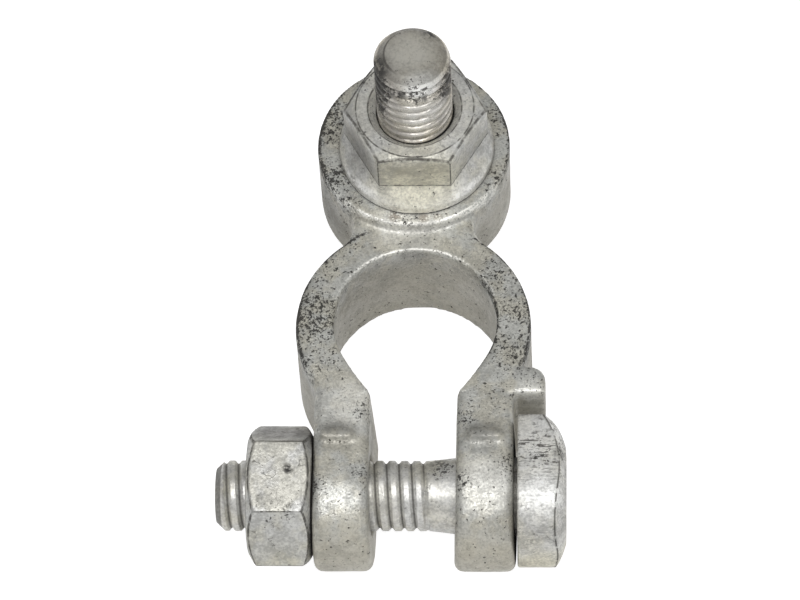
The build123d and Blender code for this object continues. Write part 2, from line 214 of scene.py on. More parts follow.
NUT_LOOKS = {
    **STEEL_LOOKS,
    "cover": 0.25,
    "roughness": 0.4,
    "metal": 0.34,
    "bump": 0.02,
    "warm": [(0, 13.0, 18.0, 7.0, 1.0), (0, 20.3, 21.9, 8.0, 0.3), (-13.4, -23.5, 5.0, 6.0, 0.4)],
    "pits": [(-13.5, -21.0, 11.5, 3.4, 0.24), (0, 20.26, 22, 8.0, 0.16), (-6.5, 24.5, 21.0, 5.0, 0.3)],
    # painted light and painted highlights on the flange nut
    "light": [
        (0, 12.9, 15.6, 6.4, 1.0), (-0.3, 14.4, 20.6, 2.6, 0.7), (0, 14.0, 18.5, 3.6, 0.3),
        (0, 20.26, 22.4, 8.6, 0.9),
    ],
    # painted shade on the flats that face away from the light
    "dull": [
        (-13.4, -12.2, 11.3, 5.0, 0.9), (-13.4, -18.4, 13.5, 5.0, 0.2), (0, 13.8, 18.9, 3.4, 0.16),
        (-6.2, 17.4, 18.5, 4.6, 0.65), (6.6, 17.4, 18.5, 4.0, 0.2),
    ],
    "grime_and_shade": [(-12.4, -17.6, 13.6, 0.8, 1.0), (-15.0, -20.5, 12.4, 1.2, 0.5), (-6.8, 24.0, 21.9, 2.6, 0.6)],
    # painted highlight along the flange's front edge
    "painted highlight rims": [((STUD_X, STUD_Y), 7.9, 0.4, 15.0, 270, 80, 1.0)],
    "hexagons": [  # centre, axis, direction of a corner, and the sizes that differ from the defaults
        ((STUD_X, STUD_Y, 13.92), (0, 0, 1), (1, 0, 0),
         {"Face": 6.1, "Sink": 4.85, "Half height": 8.0, "Foot": 3.1}),
        ((-13.445, BOLT_Y, BOLT_Z), (1, 0, 0), (0, math.cos(NUT_TURN), math.sin(NUT_TURN)),
         {"Face": 5.9, "Sink": 4.15, "Half height": 3.32}),
    ],
}
BOLT_LOOKS = {
    **STEEL_LOOKS,
    "cover": 0.22,
    "roughness": 0.42,
    "metal": 0.45,
    "bump": 0.015,
    "warm": [(13.0, -23.5, 4.0, 6.0, 0.8), (16.0, -17.2, 7.0, 4.5, 0.8)],
    "pits": [
        (13, -15.5, 13.6, 3.4, 0.3), (3.0, -16.0, 11.0, 1.9, 0.5), (5.6, -19.5, 10.0, 1.2, 0.4),
        (14.6, -15.0, 13, 1.2, 0.5), (12.2, -19.5, 12.5, 1.4, 0.3),
    ],
    # painted light and painted highlights on the bolt's head and shank
    "light": [
        (13, -13.5, 13.6, 4.6, 0.5), (13, -19.8, 12.6, 4.2, 0.95), (13.2, -23.0, 6.5, 4.0, 0.3),
        (3.6, -19.0, 10.5, 3.4, 0.4), (-1.5, -19.0, 10.2, 4.4, 0.35),
    ],
    # painted shade beside the head and on its outer cone
    "dull": [(10.4, -17.2, 10.5, 1.8, 0.6), (16.4, -18.0, 8.5, 4.6, 0.32)],
    "matte": [(13, -19.5, 12.0, 7.0, 0.16)],  # the head's top front, rubbed dull
    # grime, and painted shade in the gap between ear and head
    "grime_and_shade": [(14.6, -15.6, 13.0, 1.0, 1.0), (10.0, -15.4, 9.6, 1.6, 0.8), (2.6, -15.2, 10.2, 1.4, 0.7)],
    "brushed": [(13, -14.5, 13.6, 6.6, 1.0), (13.2, -21.0, 11.0, 5.0, 0.25)],
    "dome": ((6.807, BOLT_Y, BOLT_Z), 2.471, 9.0),  # centre, and its arc's distance from the axis and radius
    "roots": [(BOLT_AXIS, (1, 0, 0), 3.35, 3.25)],  # centre, axis, radii where the painted root shade starts and is full
}
STUD_LOOKS = {
    **STEEL_LOOKS,
    "cover": 0.24,
    "roughness": 0.3,
    "metal": 0.55,
    "bump": 0.012,
    "chalk": 0.7,  # how far the painted light spots are kept from being metallic
    "warm": [(0, 20.3, 32.0, 5.0, 0.5)],
    "pits": [
        (-4.2, 18.6, 29.0, 4.0, 0.8), (-4.2, 18.6, 25.0, 3.0, 0.6), (3.8, 18.4, 28.6, 3.2, 0.7),
        (0, 16.4, 30.0, 3.0, 0.4),
    ],
    # painted light on the stud's tip, cone and thread
    "light": [(0.8, 16.8, 31.0, 3.2, 1.0), (0.8, 16.6, 26.0, 4.4, 0.4), (-0.2, 20.3, 32.6, 4.4, 0.8)],
    # painted shade down the stud's sides
    "dull": [(-4.2, 18.6, 29.6, 3.4, 0.8), (-4.4, 18.6, 26.6, 3.0, 0.6), (4.2, 18.4, 28.4, 2.6, 0.6)],
    "grime_and_shade": [
        # left side and right side, painted shade with some grime, then grime at the tip
        (-3.6, 18.8, 31.0, 2.0, 1.0), (-4.3, 18.8, 29.4, 2.6, 1.0), (-4.3, 18.9, 27.2, 2.6, 1.0),
        (-4.3, 19.2, 24.8, 2.4, 1.0),
        (4.2, 18.8, 29.4, 2.4, 1.0), (4.2, 19.0, 27.0, 2.4, 0.8),
        (1.8, 23.0, 31.7, 1.4, 1.0), (-1.8, 16.5, 29.6, 1.5, 1.0), (1.2, 16.4, 29.0, 1.0, 0.8),
    ],
    "roots": [((STUD_X, STUD_Y, 0), (0, 0, 1), 3.64, 3.46)],
    "dark rims": [((STUD_X, STUD_Y), 2.85, 0.22, 31.7, 180, 120, 1.0)],
}


# ---------------------------------------------------------------- settings
class ClampCasting(bpy.types.PropertyGroup):
    """Skin and marks of the cast clamp body"""

    skin: bpy.props.FloatProperty(
        name="Skin step", description="Grain of the casting's even skin",
        default=0.245 * MM, min=0.2 * MM, max=1 * MM, precision=6, unit="LENGTH",
    )
    soften: bpy.props.IntProperty(
        name="Softening", description="Rounds of smoothing over the casting's edges", default=5, min=0, max=30
    )
    wave: bpy.props.FloatProperty(
        name="Waviness", description="Depth of the casting's unevenness",
        default=0.07 * MM, min=0, max=0.3 * MM, precision=6, unit="LENGTH",
    )
    mark_length: bpy.props.FloatProperty(
        name="Polarity bar length", description="Length of the raised minus bar on each ear",
        default=3.7 * MM, min=1 * MM, max=4.5 * MM, precision=6, unit="LENGTH",
    )
    mark_width: bpy.props.FloatProperty(
        name="Polarity bar width", description="Width of the raised minus bar on each ear",
        default=1.35 * MM, min=0.5 * MM, max=2.5 * MM, precision=6, unit="LENGTH",
    )
    mark_height: bpy.props.FloatProperty(
        name="Polarity bar height", description="How far the minus bar stands above the ear",
        default=0.5 * MM, min=0, max=1 * MM, precision=6, unit="LENGTH",
    )
    colour: bpy.props.FloatVectorProperty(
        name="Tin colour", description="Colour of the tinned skin", subtype="COLOR",
        default=(0.575, 0.557, 0.485), min=0, max=1,
    )
    roughness: bpy.props.FloatProperty(
        name="Tin roughness", description="How dull the tinned skin is", subtype="FACTOR",
        default=0.42, min=0, max=1,
    )


class ClampThreads(bpy.types.PropertyGroup):
    """Threads of the clamp bolt and the terminal stud"""

    pitch: bpy.props.FloatProperty(
        name="Pitch", description="Distance from one crest to the next",
        default=1.25 * MM, min=0.5 * MM, max=3 * MM, precision=6, unit="LENGTH",
    )
    bolt_depth: bpy.props.FloatProperty(
        name="Bolt thread depth", description="Crest to root on the clamp bolt",
        default=0.34 * MM, min=0, max=0.8 * MM, precision=6, unit="LENGTH",
    )
    stud_depth: bpy.props.FloatProperty(
        name="Stud thread depth", description="Crest to root on the terminal stud",
        default=0.5 * MM, min=0, max=0.8 * MM, precision=6, unit="LENGTH",
    )
    steps: bpy.props.IntProperty(
        name="Steps a turn", description="Steps in each turn of a thread", default=96, min=12, max=256
    )
    rows: bpy.props.IntProperty(
        name="Rows a pitch", description="Rows of faces across one pitch", default=14, min=4, max=40
    )
    colour: bpy.props.FloatVectorProperty(
        name="Steel colour", description="Colour of the plated steel", subtype="COLOR",
        default=(0.58, 0.575, 0.55), min=0, max=1,
    )


class ClampNuts(bpy.types.PropertyGroup):
    """Both nuts and the bolt's head"""

    skin: bpy.props.FloatProperty(
        name="Skin step", description="Grain of the nuts' even skin",
        default=0.15 * MM, min=0.1 * MM, max=1 * MM, precision=6, unit="LENGTH",
    )
    soften: bpy.props.IntProperty(
        name="Softening", description="Rounds of smoothing over the nuts' edges", default=4, min=0, max=30
    )
    colour: bpy.props.FloatVectorProperty(
        name="Nut colour", description="Colour of the nuts' plating", subtype="COLOR",
        default=(0.56, 0.56, 0.54), min=0, max=1,
    )


class ClampStage(bpy.types.PropertyGroup):
    """Floor, lights and camera"""

    floor_colour: bpy.props.FloatVectorProperty(
        name="Floor colour", description="Colour of the floor", subtype="COLOR",
        default=(0.5, 0.5, 0.5), min=0, max=1,
    )
    key_level: bpy.props.FloatProperty(
        name="Overhead light", description="Brightness of the overhead light", default=3.9, min=0, max=20
    )
    front_level: bpy.props.FloatProperty(
        name="Front light", description="Brightness of the soft light in front", default=0.55, min=0, max=20
    )
    side_level: bpy.props.FloatProperty(
        name="Side light", description="Brightness of the soft light at the side", default=0.7, min=0, max=20
    )
    fill: bpy.props.FloatProperty(
        name="Room light", description="Strength of the light from all round", default=0.2, min=0, max=2
    )
    lens: bpy.props.FloatProperty(
        name="Lens", description="Focal length in millimetres", default=186.22, min=20, max=400
    )


# ---------------------------------------------------------------- shader nodes
def feed(tree, socket, value):
    """Links a socket to a node's output, or sets its own value."""
    if isinstance(value, bpy.types.NodeSocket):
        tree.links.new(value, socket)
    else:
        socket.default_value = value


def put(tree, kind, inputs=None, **settings):
    """A new node with its settings, and each input set or linked."""
    made = tree.nodes.new(kind)
    for name, value in settings.items():
        setattr(made, name, value)
    for name, value in (inputs or {}).items():
        feed(tree, made.inputs[name], value)
    return made


def calc(tree, operation, *values, clamp=False):
    """The result of a Math node."""
    return put(
        tree, "ShaderNodeMath", dict(enumerate(values)), operation=operation, use_clamp=clamp
    ).outputs[0]


def times(tree, *values):
    """The product of several values."""
    return reduce(lambda one, two: calc(tree, "MULTIPLY", one, two), values)


def plus(tree, *values):
    """The sum of several values."""
    return reduce(lambda one, two: calc(tree, "ADD", one, two), values)


def most(tree, *values):
    """The greatest of several values."""
    return reduce(lambda one, two: calc(tree, "MAXIMUM", one, two), values)


def apart(tree, one, two):
    """How far two values are apart."""
    return calc(tree, "ABSOLUTE", calc(tree, "SUBTRACT", one, two))


def vector(tree, operation, *values):
    """The result of a Vector Math node, a number for a length, a distance or a dot product."""
    result = "Value" if operation in ("LENGTH", "DISTANCE", "DOT_PRODUCT") else "Vector"
    return put(tree, "ShaderNodeVectorMath", dict(enumerate(values)), operation=operation).outputs[result]


def split(tree, value):
    """The X, Y and Z of a vector."""
    return put(tree, "ShaderNodeSeparateXYZ", {0: value}).outputs


def ramp(tree, value, low, high, to_low=0.0, to_high=1.0):
    """value taken smoothly from low..high to to_low..to_high."""
    return put(
        tree, "ShaderNodeMapRange", {0: value, 1: low, 2: high, 3: to_low, 4: to_high},
        interpolation_type="SMOOTHSTEP",
    ).outputs[0]


def noise_of(tree, where, scale, detail=3.0, roughness=0.6):
    """A noise value on the coordinates given."""
    return put(
        tree, "ShaderNodeTexNoise",
        {"Vector": where, "Scale": scale, "Detail": detail, "Roughness": roughness},
    ).outputs[0]


def rgb(colour):
    """A colour with its alpha."""
    return (*colour, 1.0)


def tint(tree, share, first, second):
    """A colour between first and second."""
    made = put(tree, "ShaderNodeMix", data_type="RGBA")
    sockets = {socket.identifier: socket for socket in (*made.inputs, *made.outputs)}
    for name, value in (("Factor_Float", share), ("A_Color", first), ("B_Color", second)):
        feed(tree, sockets[name], value)
    return sockets["Result_Color"]


def lay(tree, tone, *layers):
    """A colour with others laid over it in turn, each where its mask is strong."""
    for mask, colour in layers:
        tone = tint(tree, mask, tone, rgb(colour))
    return tone


def mottled(tree, tone, share, darkest, lightest=1.18):
    """A colour made darker or lighter by a share."""
    dark, light = (
        put(tree, "ShaderNodeVectorMath", {0: tone, "Scale": level}, operation="SCALE").outputs["Vector"]
        for level in (darkest, lightest)
    )
    return tint(tree, share, dark, light)


def mm(*place):
    """A place given in millimetres, in metres."""
    return tuple(value * MM for value in place)


# ---------------------------------------------------------------- shared effects
# Each gets its group's tree and inputs, and returns the group's outputs by name.
def plated_grain(tree, given):
    """Grain of a plated surface: a height, a tone and warmer patches."""
    where, scale = given["Vector"], given["Grain"]
    fine = noise_of(tree, where, scale)
    middle = noise_of(tree, where, times(tree, scale, 0.25))
    broad = noise_of(tree, where, times(tree, scale, 0.05), 2.0, 0.5)
    patches = noise_of(tree, where, times(tree, scale, 0.09))
    mottle = calc(tree, "MULTIPLY_ADD", broad, 0.8, fine)
    return {
        "Height": calc(tree, "MULTIPLY_ADD", middle, 0.8, fine),
        "Tone": ramp(tree, plus(tree, middle, mottle), 1.05, 1.75),
        "Warmth": ramp(tree, patches, 0.4, 0.6),
    }


def dark_pits(tree, given):
    """Small ragged pits in two sizes, where Cover says how much of the skin they take."""
    masks = []
    for finer, bare in ((1.0, 0.76), (2.3, 0.77)):  # bare is the noise that shows at no cover
        speck = noise_of(tree, given["Vector"], times(tree, given["Scale"], finer), roughness=0.66)
        limit = calc(tree, "MULTIPLY_ADD", given["Cover"], -0.32, bare)
        masks.append(ramp(tree, calc(tree, "SUBTRACT", speck, limit), -0.01, 0.05))
    return {"Mask": most(tree, *masks)}


def edges_and_corner_shade(tree, given):
    """Rubbed outer edges, and inner corners that take painted shade, from the mesh's own curvature."""
    point = put(tree, "ShaderNodeNewGeometry").outputs["Pointiness"]
    return {"Edge": ramp(tree, point, 0.52, 0.58), "Corner": ramp(tree, point, 0.49, 0.43)}


def painted_crevice_shade(tree, given):
    """Black painted shade where two surfaces meet closely, ragged at its border."""
    shade = put(tree, "ShaderNodeAmbientOcclusion", {"Distance": given["Reach"]}, samples=6)
    ragged = noise_of(tree, given["Vector"], 1400.0, roughness=0.65)
    closed = calc(tree, "SUBTRACT", 1.0, shade.outputs["AO"])
    return {"Mask": ramp(tree, calc(tree, "MULTIPLY_ADD", ragged, 0.5, closed), 0.62, 0.95)}


def thin_scratches(tree, given):
    """Thin wandering scratches, broken along their length."""
    wander = noise_of(tree, given["Vector"], given["Scale"], 4.0)
    line = ramp(tree, apart(tree, wander, 0.5), 0.012, 0.002)
    parts = noise_of(tree, given["Vector"], times(tree, given["Scale"], 2.4), 2.0, 0.5)
    return {"Mask": times(tree, line, ramp(tree, parts, 0.5, 0.6))}


def brushed_lines(tree, given):
    """Fine short lines that run along X, where Amount lets them."""
    stretched = vector(tree, "MULTIPLY", given["Vector"], (0.13, 1, 1))
    line = ramp(tree, noise_of(tree, stretched, 5200.0, 2.0), 0.5, 0.58)
    parts = ramp(tree, noise_of(tree, given["Vector"], 700.0), 0.4, 0.54)
    return {"Mask": times(tree, line, parts, given["Amount"])}


def hexagon_lines(tree, given):
    """Thin broken dark lines along a nut's corners, its chamfers' borders, the hexagon's foot and the
    rims of its end faces. Flat, Face and Sink are distances from the axis, and the heights are along it
    from Centre."""
    narrow = times(tree, given["Width"], 0.35)

    def near(one, two):
        return ramp(tree, apart(tree, one, two), given["Width"], narrow)

    offset = vector(tree, "SUBTRACT", given["Vector"], given["Centre"])
    height = calc(tree, "ABSOLUTE", vector(tree, "DOT_PRODUCT", offset, given["Axis"]))
    away = vector(tree, "LENGTH", vector(tree, "CROSS_PRODUCT", offset, given["Axis"]))
    side = vector(tree, "CROSS_PRODUCT", given["Axis"], given["Corner"])
    one, two = (vector(tree, "DOT_PRODUCT", offset, way) for way in (given["Corner"], side))

    # distances square to the three pairs of flats, and the two greatest of them
    flats = [calc(tree, "ABSOLUTE", two)]
    for cosine in (math.cos(math.pi / 6), -math.cos(math.pi / 6)):
        across = calc(tree, "MULTIPLY_ADD", one, cosine, times(tree, two, 0.5))
        flats.append(calc(tree, "ABSOLUTE", across))
    low, high = calc(tree, "MINIMUM", *flats[:2]), most(tree, *flats[:2])
    outer = most(tree, high, flats[2])
    second = most(tree, low, calc(tree, "MINIMUM", high, flats[2]))

    above = ramp(tree, calc(tree, "SUBTRACT", height, given["Foot"]), -0.3 * MM, 0)
    on_flat = times(tree, ramp(tree, apart(tree, given["Flat"], outer), 0.4 * MM, 0.25 * MM), above)
    on_face = ramp(tree, calc(tree, "SUBTRACT", given["Half height"], height), 0.4 * MM, 0.2 * MM)
    beyond = calc(tree, "SUBTRACT", away, given["Face"])
    chamfer = calc(tree, "MULTIPLY_ADD", beyond, -math.tan(math.pi / 6), given["Half height"])
    lines = most(
        tree,
        times(tree, on_flat, near(outer, second)),
        times(tree, on_flat, near(height, chamfer)),
        times(tree, on_flat, near(height, given["Foot"])),
        times(tree, on_face, near(away, given["Face"])),
        times(tree, on_face, near(away, given["Sink"])),
    )
    broken = ramp(tree, noise_of(tree, given["Vector"], 1300.0), 0.36, 0.56, 0.35, 1.0)
    return {"Mask": times(tree, lines, broken)}


AT_ORIGIN = (0, 0, 0)
EFFECTS = {  # what makes each group, and its inputs with their defaults
    "Plated grain": (plated_grain, {"Vector": AT_ORIGIN, "Grain": 4200.0}),
    "Dark pits": (dark_pits, {"Vector": AT_ORIGIN, "Scale": 1500.0, "Cover": 0.2}),
    "Edges and corners": (edges_and_corner_shade, {}),
    "Crevice shade": (painted_crevice_shade, {"Vector": AT_ORIGIN, "Reach": 1.0 * MM}),
    "Thin scratches": (thin_scratches, {"Vector": AT_ORIGIN, "Scale": 260.0}),
    "Brushed lines": (brushed_lines, {"Vector": AT_ORIGIN, "Amount": 1.0}),
    "Hexagon lines": (hexagon_lines, {
        "Vector": AT_ORIGIN, "Centre": AT_ORIGIN, "Axis": (0, 0, 1), "Corner": (1, 0, 0),
        "Flat": 6.5 * MM, "Face": 6.0 * MM, "Sink": 4.5 * MM, "Half height": 3.3 * MM,
        "Foot": -1 * MM, "Width": 0.11 * MM,
    }),
}


def effect_group(name):
    """A new shader node group for one of the shared effects."""
    make, inputs = EFFECTS[name]
    tree = bpy.data.node_groups.new(name, "ShaderNodeTree")
    for label, value in inputs.items():
        kind = "NodeSocketVector" if isinstance(value, tuple) else "NodeSocketFloat"
        tree.interface.new_socket(label, in_out="INPUT", socket_type=kind).default_value = value
    made = make(tree, put(tree, "NodeGroupInput").outputs)
    for label in made:
        tree.interface.new_socket(label, in_out="OUTPUT", socket_type="NodeSocketFloat")
    put(tree, "NodeGroupOutput", made)
    return tree


def use(tree, name, inputs=None):
    """A shared effect placed in a material, as its outputs. Its group is made at its first use."""
    group = bpy.data.node_groups.get(name) or effect_group(name)
    return put(tree, "ShaderNodeGroup", inputs, node_tree=group).outputs


# ---------------------------------------------------------------- masks
def spots(tree, where, places):
    """A mask with its full strength near each place, that fades out at the place's radius."""
    masks = []
    for x, y, z, radius, strength in places:
        gap = vector(tree, "DISTANCE", where, mm(x, y, z))
        masks.append(ramp(tree, gap, radius * MM, 0.25 * radius * MM, 0.0, strength))
    return most(tree, *masks)


def rims(tree, where, places):
    """A mask along parts of round upright rims, each strongest towards its own bearing."""
    masks = []
    for centre, radius, width, z, towards, spread, strength in places:
        offset = vector(tree, "SUBTRACT", where, mm(*centre, z))
        level = vector(tree, "MULTIPLY", offset, (1, 1, 0))
        bearing = (math.cos(math.radians(towards)), math.sin(math.radians(towards)), 0)
        along = vector(tree, "DOT_PRODUCT", vector(tree, "NORMALIZE", level), bearing)
        gap = apart(tree, vector(tree, "LENGTH", level), radius * MM)
        band = ramp(tree, gap, width * MM, 0.3 * width * MM)
        arc = ramp(tree, along, math.cos(math.radians(spread)), 1.0, 0.0, strength)
        depth = ramp(tree, calc(tree, "ABSOLUTE", split(tree, offset)["Z"]), 1.6 * MM, 0.9 * MM)
        masks.append(times(tree, band, arc, depth))
    return most(tree, *masks)


def dome_line(tree, where, centre, offset, radius):
    """A thin broken line along the border of a domed end about the X axis. The dome's section is an arc
    of that radius, whose centre is that far off the axis."""
    place = vector(tree, "SUBTRACT", where, mm(*centre))
    along = split(tree, place)["X"]
    away = vector(tree, "LENGTH", vector(tree, "MULTIPLY", place, (0, 1, 1)))
    section = put(tree, "ShaderNodeCombineXYZ", {0: along, 1: calc(tree, "SUBTRACT", away, offset * MM)})
    gap = apart(tree, radius * MM, vector(tree, "LENGTH", section.outputs[0]))
    normal = put(tree, "ShaderNodeTexCoord").outputs["Normal"]
    side = ramp(tree, split(tree, normal)["X"], 0.6, 0.4)
    broken = ramp(tree, noise_of(tree, where, 1300.0), 0.38, 0.5)
    return times(tree, ramp(tree, gap, 0.26 * MM, 0.1 * MM), ramp(tree, along, 0, MM), side, broken)


def painted_root_shade(tree, where, centre, axis, start, full):
    """A mask of painted shade in a thread's roots, from the radius where it starts to the radius where it is
    full.
    """
    offset = vector(tree, "SUBTRACT", where, mm(*centre))
    away = vector(tree, "LENGTH", vector(tree, "CROSS_PRODUCT", offset, axis))
    return times(tree, ramp(tree, away, start * MM, full * MM), 0.65)


# ---------------------------------------------------------------- materials
def blank(name):
    """A new material with its tree, its shader and its object coordinates."""
    made = bpy.data.materials.new(name)
    made.use_nodes = True
    tree = made.node_tree
    where = put(tree, "ShaderNodeTexCoord").outputs["Object"]
    return made, tree, tree.nodes["Principled BSDF"], where


def skin_wear_and_shade(tree, where, looks, *more_cover):
    """Grain, edges, painted shade in crevices and dark pits of a plated skin."""
    grain = use(tree, "Plated grain", {"Vector": where, "Grain": looks["grain"]})
    edges = use(tree, "Edges and corners")
    crevice_shade = use(tree, "Crevice shade", {"Vector": where, "Reach": looks["crevices"] * MM})["Mask"]
    cover = plus(tree, looks["cover"], spots(tree, where, looks["pits"]), *more_cover)
    cover = calc(tree, "MULTIPLY_ADD", edges["Edge"], looks["edge cover"], cover)
    pits = use(tree, "Dark pits", {"Vector": where, "Scale": looks["pit scale"], "Cover": cover})["Mask"]
    return grain, edges, crevice_shade, pits


def finish_shader(tree, shader, colour, roughness, metallic, height, bump):
    """Feeds a metal's colour, roughness, metallic and bump to its shader."""
    relief = put(tree, "ShaderNodeBump", {"Height": height, "Distance": bump * MM, "Strength": 1.0})
    fed = {"Base Color": colour, "Roughness": roughness, "Metallic": metallic, "Normal": relief.outputs[0]}
    for name, value in fed.items():
        feed(tree, shader.inputs[name], value)


def tinned_casting(settings):
    """Material of the clamp body."""
    made, tree, shader, where = blank("tinned casting")
    looks = CASTING_LOOKS
    dark_rims, crease_shade, highlight_rims = (
        rims(tree, where, looks[kind]) for kind in ("dark rims", "crease_shade", "painted highlight rims")
    )
    grain, edges, crevice_shade, pits = skin_wear_and_shade(tree, where, looks, times(tree, dark_rims, 0.4))
    place = split(tree, where)
    low = ramp(tree, place["Z"], *mm(*TOP_TO_LOW))
    behind_ears = ramp(tree, place["Y"], *mm(*EARS_TO_RING))
    wall = times(tree, ramp(tree, place["Z"], *mm(*TOP_TO_WALL)), behind_ears)

    # painted highlights along rims, broken by the grain
    highlight_breakup = ramp(tree, grain["Tone"], 0.3, 0.55, 0.3, 1.0)
    # light: painted light and painted highlights
    light = most(tree, spots(tree, where, looks["light"]), times(tree, highlight_rims, highlight_breakup))
    # dull: painted shade, with painted shade in the crease
    dull = most(tree, spots(tree, where, looks["dull"]), times(tree, crease_shade, 0.8))
    tone = tint(tree, grain["Warmth"], rgb(TIN_COOL), rgb(settings.colour))
    # painted shade on the walls lower down, then painted light, then painted shade
    tone = lay(tree, tone, (times(tree, low, 0.8), TIN_LOW_SHADE), (light, TIN_PAINTED_LIGHT), (dull, TIN_PAINTED_SHADE))

    calm = times(tree, low, 0.5)  # the walls are less mottled than the top
    lively = times(tree, grain["Tone"], calc(tree, "SUBTRACT", 1.0, calm))
    tone = mottled(tree, tone, plus(tree, lively, times(tree, calm, 0.6)), 0.72)

    rust = times(tree, spots(tree, where, looks["rust"]), ramp(tree, grain["Tone"], 0.75, 0.35))
    # darker along parts of the rims, broken by the grain
    rim_darkening = times(tree, dark_rims, ramp(tree, grain["Tone"], 0.8, 0.3))
    # pits, painted shade in crevices, and darker rims
    dark = most(tree, pits, crevice_shade, rim_darkening)
    # painted shade in inner corners
    corners = times(tree, edges["Corner"], 0.5)
    tone = lay(tree, tone, (rust, RUST), (corners, TIN_CORNER_SHADE), (times(tree, dark, 0.93), TIN_PIT_AND_SHADE))

    rough = calc(tree, "MULTIPLY_ADD", grain["Tone"], -0.22, settings.roughness + 0.14)
    rough = calc(tree, "MULTIPLY_ADD", most(tree, dark, crease_shade), 0.4, rough, clamp=True)
    metal = calc(tree, "MULTIPLY_ADD", dark, -0.3, looks["metal"])
    metal = calc(tree, "MULTIPLY_ADD", most(tree, wall, crease_shade), -0.3, metal, clamp=True)
    height = calc(tree, "MULTIPLY_ADD", pits, -1.6, grain["Height"])
    finish_shader(tree, shader, tone, rough, metal, height, looks["bump"])
    return made


def steel_lines(tree, where, looks):
    """Scratches, brushed lines, painted shade in the thread roots and the dark lines along a fastener's
    edges.
    """
    lines = [times(tree, use(tree, "Thin scratches", {"Vector": where})["Mask"], 0.5)]
    if "brushed" in looks:
        amount = spots(tree, where, looks["brushed"])
        lines.append(use(tree, "Brushed lines", {"Vector": where, "Amount": amount})["Mask"])
    for centre, axis, corner, sizes in looks.get("hexagons", ()):
        inputs = {"Vector": where, "Centre": mm(*centre), "Axis": axis, "Corner": corner}
        inputs.update({name: size * MM for name, size in sizes.items()})
        lines.append(use(tree, "Hexagon lines", inputs)["Mask"])
    lines += [painted_root_shade(tree, where, *roots) for roots in looks.get("roots", ())]
    if "dark rims" in looks:
        lines.append(rims(tree, where, looks["dark rims"]))
    if "dome" in looks:
        lines.append(dome_line(tree, where, *looks["dome"]))
    return most(tree, *lines)


def plated_steel(name, colour, looks):
    """Material of a nut, the bolt or the stud, with its own marks, painted light and painted shade at the
    places in looks.
    """
    made, tree, shader, where = blank(name)
    grain, edges, crevice_shade, pits = skin_wear_and_shade(tree, where, looks)
    lines = steel_lines(tree, where, looks)
    light, dull, warm, grime_and_shade = (
        spots(tree, where, looks[kind]) for kind in ("light", "dull", "warm", "grime_and_shade")
    )
    # painted highlights along rims
    if "painted highlight rims" in looks:
        light = most(tree, light, rims(tree, where, looks["painted highlight rims"]))

    patchy = [value * share for value, share in zip(colour, PATCHY)]
    tone = tint(tree, grain["Warmth"], rgb(colour), rgb(patchy))
    # painted light and painted highlights, then painted shade, over the plating's colour
    tone = lay(tree, tone, (light, STEEL_PAINTED_LIGHT), (dull, STEEL_PAINTED_SHADE))
    tone = tint(tree, warm, tone, vector(tree, "MULTIPLY", tone, YELLOWED))
    tone = mottled(tree, tone, grain["Tone"], 0.74)
    # painted shade in inner corners
    corners = times(tree, edges["Corner"], 0.6)
    # dark lines, with painted shade in the thread roots
    tone = lay(tree, tone, (corners, STEEL_CORNER_SHADE), (times(tree, lines, 0.85), STEEL_LINE_AND_SHADE))

    ragged = ramp(tree, noise_of(tree, where, 1500.0, roughness=0.65), 0.36, 0.56)
    # pits, painted shade in crevices, grime, and painted shade on the stud's sides
    dark = most(tree, times(tree, pits, 0.9), crevice_shade, times(tree, grime_and_shade, ragged))
    tone = lay(tree, tone, (dark, STEEL_PIT_AND_SHADE))

    rough = calc(tree, "MULTIPLY_ADD", grain["Tone"], -0.2, looks["roughness"] + 0.1)
    if "matte" in looks:
        rough = plus(tree, rough, spots(tree, where, looks["matte"]))
    rough = calc(tree, "MULTIPLY_ADD", most(tree, dark, lines), 0.4, rough, clamp=True)
    clean = calc(tree, "MULTIPLY_ADD", dark, -0.8 * looks["metal"], looks["metal"])
    chalk = times(tree, light, looks.get("chalk", 0.0))  # painted light, kept from being metallic
    metal = times(tree, clean, calc(tree, "SUBTRACT", 1.0, chalk))
    height = calc(tree, "MULTIPLY_ADD", most(tree, pits, lines), -1.2, grain["Height"])
    finish_shader(tree, shader, tone, rough, metal, height, looks["bump"])
    return made


def lit_white_floor(settings):
    """Material of the floor: it takes shadows, and is made white where the camera sees it."""
    made = bpy.data.materials.new("pale floor")
    made.use_nodes = True
    tree = made.node_tree
    tree.nodes.clear()
    path = put(tree, "ShaderNodeLightPath").outputs
    seen = most(tree, path["Is Camera Ray"], path["Is Transmission Ray"])
    strength = most(tree, times(tree, path["Is Glossy Ray"], MIRRORED_WHITE), times(tree, seen, FLOOR_WHITE))
    plain = put(tree, "ShaderNodeBsdfDiffuse", {"Color": rgb(settings.floor_colour)})
    white = put(tree, "ShaderNodeEmission", {"Strength": strength})
    mixed = put(tree, "ShaderNodeAddShader", {0: plain.outputs[0], 1: white.outputs[0]})
    put(tree, "ShaderNodeOutputMaterial", {0: mixed.outputs[0]})
    return made


# ---------------------------------------------------------------- mesh work
def shade(mesh):
    """Shades a mesh smooth, apart from its sharp edges."""
    mesh.shade_smooth()
    mesh.set_sharp_from_angle(angle=SHARP_ANGLE)


def keep(bm, name, material):
    """Turns a bmesh into an object with smooth faces and one material."""
    mesh = bpy.data.meshes.new(name)
    bm.to_mesh(mesh)
    bm.free()
    obj = bpy.data.objects.new(name, mesh)
    bpy.context.scene.collection.objects.link(obj)
    mesh.materials.append(material)
    shade(mesh)
    return obj


def settle(obj):
    """Applies an object's modifiers to its mesh."""
    bpy.context.view_layer.update()
    old = obj.data
    obj.data = bpy.data.meshes.new_from_object(obj.evaluated_get(bpy.context.evaluated_depsgraph_get()))
    obj.modifiers.clear()
    bpy.data.meshes.remove(old)
    shade(obj.data)


